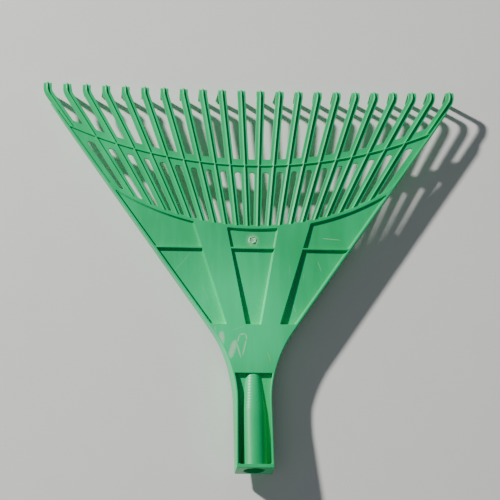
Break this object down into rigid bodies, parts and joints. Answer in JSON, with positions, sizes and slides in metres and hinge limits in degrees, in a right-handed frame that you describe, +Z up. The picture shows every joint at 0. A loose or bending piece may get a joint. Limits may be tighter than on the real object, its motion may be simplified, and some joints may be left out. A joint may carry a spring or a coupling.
{
  "type": "leaf rake head",
  "caption": "Plastic leaf rake head: a fan of springy hooked tines tied by a curved crossbar, on a ribbed plate with a round handle socket.",
  "frame": {"origin": "centre of the handle socket's mouth, on the bore axis", "axes": "+Y from the socket towards the tine tips, +X across the fan, +Z up, away from the claws"},
  "size_m": [0.514, 0.4817, 0.048],
  "materials": {
    "green_plastic": "satin injection-moulded green polypropylene"
  },
  "bodies": {
    "head": {"base_arc": "green_plastic", "cross_ribs": "green_plastic", "crossbar": "green_plastic", "neck_plate": "green_plastic", "panel_centre": "green_plastic", "panel_left": "green_plastic", "panel_right": "green_plastic", "side_rail_left": "green_plastic", "side_rail_right": "green_plastic", "side_wall_left": "green_plastic", "side_wall_right": "green_plastic", "socket_end_wall": "green_plastic", "socket_tube": "green_plastic", "socket_web": "green_plastic", "strap_left": "green_plastic", "strap_right": "green_plastic", "tine_root_01": "green_plastic", "tine_root_02": "green_plastic", "tine_root_03": "green_plastic", "tine_root_04": "green_plastic", "tine_root_05": "green_plastic", "tine_root_06": "green_plastic", "tine_root_07": "green_plastic", "tine_root_08": "green_plastic", "tine_root_09": "green_plastic", "tine_root_10": "green_plastic", "tine_root_11": "green_plastic", "tine_root_12": "green_plastic", "tine_root_13": "green_plastic", "tine_root_14": "green_plastic", "tine_root_15": "green_plastic", "tine_root_16": "green_plastic", "tine_root_17": "green_plastic", "tine_root_18": "green_plastic", "tine_root_19": "green_plastic", "tine_root_20": "green_plastic", "tine_root_21": "green_plastic", "tine_root_22": "green_plastic"},
    "tine_01": {"tine_01": "green_plastic"},
    "tine_02": {"tine_02": "green_plastic"},
    "tine_03": {"tine_03": "green_plastic"},
    "tine_04": {"tine_04": "green_plastic"},
    "tine_05": {"tine_05": "green_plastic"},
    "tine_06": {"tine_06": "green_plastic"},
    "tine_07": {"tine_07": "green_plastic"},
    "tine_08": {"tine_08": "green_plastic"},
    "tine_09": {"tine_09": "green_plastic"},
    "tine_10": {"tine_10": "green_plastic"},
    "tine_11": {"tine_11": "green_plastic"},
    "tine_12": {"tine_12": "green_plastic"},
    "tine_13": {"tine_13": "green_plastic"},
    "tine_14": {"tine_14": "green_plastic"},
    "tine_15": {"tine_15": "green_plastic"},
    "tine_16": {"tine_16": "green_plastic"},
    "tine_17": {"tine_17": "green_plastic"},
    "tine_18": {"tine_18": "green_plastic"},
    "tine_19": {"tine_19": "green_plastic"},
    "tine_20": {"tine_20": "green_plastic"},
    "tine_21": {"tine_21": "green_plastic"},
    "tine_22": {"tine_22": "green_plastic"}
  },
  "joints": [
    {"name": "tine_01_flex", "type": "hinge", "parent": "head", "child": "tine_01", "pos_m": [-0.23416, 0.44042, 0.00165], "axis": [0.8255, 0.5643, 0], "range_deg": [-12, 12], "stiffness_Nm_per_rad": 1.6},
    {"name": "tine_02_flex", "type": "hinge", "parent": "head", "child": "tine_02", "pos_m": [-0.20342, 0.42679, 0.00165], "axis": [0.8504, 0.5261, 0], "range_deg": [-12, 12], "stiffness_Nm_per_rad": 1.6},
    {"name": "tine_03_flex", "type": "hinge", "parent": "head", "child": "tine_03", "pos_m": [-0.17611, 0.41641, 0.00165], "axis": [0.8738, 0.4863, 0], "range_deg": [-12, 12], "stiffness_Nm_per_rad": 1.6},
    {"name": "tine_04_flex", "type": "hinge", "parent": "head", "child": "tine_04", "pos_m": [-0.15215, 0.40853, 0.00165], "axis": [0.9014, 0.4329, 0], "range_deg": [-12, 12], "stiffness_Nm_per_rad": 1.6},
    {"name": "tine_05_flex", "type": "hinge", "parent": "head", "child": "tine_05", "pos_m": [-0.1301, 0.40225, 0.00165], "axis": [0.9275, 0.3737, 0], "range_deg": [-12, 12], "stiffness_Nm_per_rad": 1.6},
    {"name": "tine_06_flex", "type": "hinge", "parent": "head", "child": "tine_06", "pos_m": [-0.10895, 0.3971, 0.00165], "axis": [0.9491, 0.3151, 0], "range_deg": [-12, 12], "stiffness_Nm_per_rad": 1.6},
    {"name": "tine_07_flex", "type": "hinge", "parent": "head", "child": "tine_07", "pos_m": [-0.08745, 0.39279, 0.00165], "axis": [0.9633, 0.2685, 0], "range_deg": [-12, 12], "stiffness_Nm_per_rad": 1.6},
    {"name": "tine_08_flex", "type": "hinge", "parent": "head", "child": "tine_08", "pos_m": [-0.06684, 0.38945, 0.00165], "axis": [0.9761, 0.2173, 0], "range_deg": [-12, 12], "stiffness_Nm_per_rad": 1.6},
    {"name": "tine_09_flex", "type": "hinge", "parent": "head", "child": "tine_09", "pos_m": [-0.04726, 0.38695, 0.00165], "axis": [0.9874, 0.1581, 0], "range_deg": [-12, 12], "stiffness_Nm_per_rad": 1.6},
    {"name": "tine_10_flex", "type": "hinge", "parent": "head", "child": "tine_10", "pos_m": [-0.02796, 0.38516, 0.00165], "axis": [0.9952, 0.0983, 0], "range_deg": [-12, 12], "stiffness_Nm_per_rad": 1.6},
    {"name": "tine_11_flex", "type": "hinge", "parent": "head", "child": "tine_11", "pos_m": [-0.0089, 0.38406, 0.00165], "axis": [0.9993, 0.0376, 0], "range_deg": [-12, 12], "stiffness_Nm_per_rad": 1.6},
    {"name": "tine_12_flex", "type": "hinge", "parent": "head", "child": "tine_12", "pos_m": [0.0089, 0.38406, 0.00165], "axis": [0.9993, -0.0376, 0], "range_deg": [-12, 12], "stiffness_Nm_per_rad": 1.6},
    {"name": "tine_13_flex", "type": "hinge", "parent": "head", "child": "tine_13", "pos_m": [0.02796, 0.38516, 0.00165], "axis": [0.9952, -0.0983, 0], "range_deg": [-12, 12], "stiffness_Nm_per_rad": 1.6},
    {"name": "tine_14_flex", "type": "hinge", "parent": "head", "child": "tine_14", "pos_m": [0.04726, 0.38695, 0.00165], "axis": [0.9874, -0.1581, 0], "range_deg": [-12, 12], "stiffness_Nm_per_rad": 1.6},
    {"name": "tine_15_flex", "type": "hinge", "parent": "head", "child": "tine_15", "pos_m": [0.06684, 0.38945, 0.00165], "axis": [0.9761, -0.2173, 0], "range_deg": [-12, 12], "stiffness_Nm_per_rad": 1.6},
    {"name": "tine_16_flex", "type": "hinge", "parent": "head", "child": "tine_16", "pos_m": [0.08745, 0.39279, 0.00165], "axis": [0.9633, -0.2685, 0], "range_deg": [-12, 12], "stiffness_Nm_per_rad": 1.6},
    {"name": "tine_17_flex", "type": "hinge", "parent": "head", "child": "tine_17", "pos_m": [0.10895, 0.3971, 0.00165], "axis": [0.9491, -0.3151, 0], "range_deg": [-12, 12], "stiffness_Nm_per_rad": 1.6},
    {"name": "tine_18_flex", "type": "hinge", "parent": "head", "child": "tine_18", "pos_m": [0.1301, 0.40225, 0.00165], "axis": [0.9275, -0.3737, 0], "range_deg": [-12, 12], "stiffness_Nm_per_rad": 1.6},
    {"name": "tine_19_flex", "type": "hinge", "parent": "head", "child": "tine_19", "pos_m": [0.15215, 0.40853, 0.00165], "axis": [0.9014, -0.4329, 0], "range_deg": [-12, 12], "stiffness_Nm_per_rad": 1.6},
    {"name": "tine_20_flex", "type": "hinge", "parent": "head", "child": "tine_20", "pos_m": [0.17611, 0.41641, 0.00165], "axis": [0.8738, -0.4863, 0], "range_deg": [-12, 12], "stiffness_Nm_per_rad": 1.6},
    {"name": "tine_21_flex", "type": "hinge", "parent": "head", "child": "tine_21", "pos_m": [0.20342, 0.42679, 0.00165], "axis": [0.8504, -0.5261, 0], "range_deg": [-12, 12], "stiffness_Nm_per_rad": 1.6},
    {"name": "tine_22_flex", "type": "hinge", "parent": "head", "child": "tine_22", "pos_m": [0.23416, 0.44042, 0.00165], "axis": [0.8255, -0.5643, 0], "range_deg": [-12, 12], "stiffness_Nm_per_rad": 1.6}
  ]
}
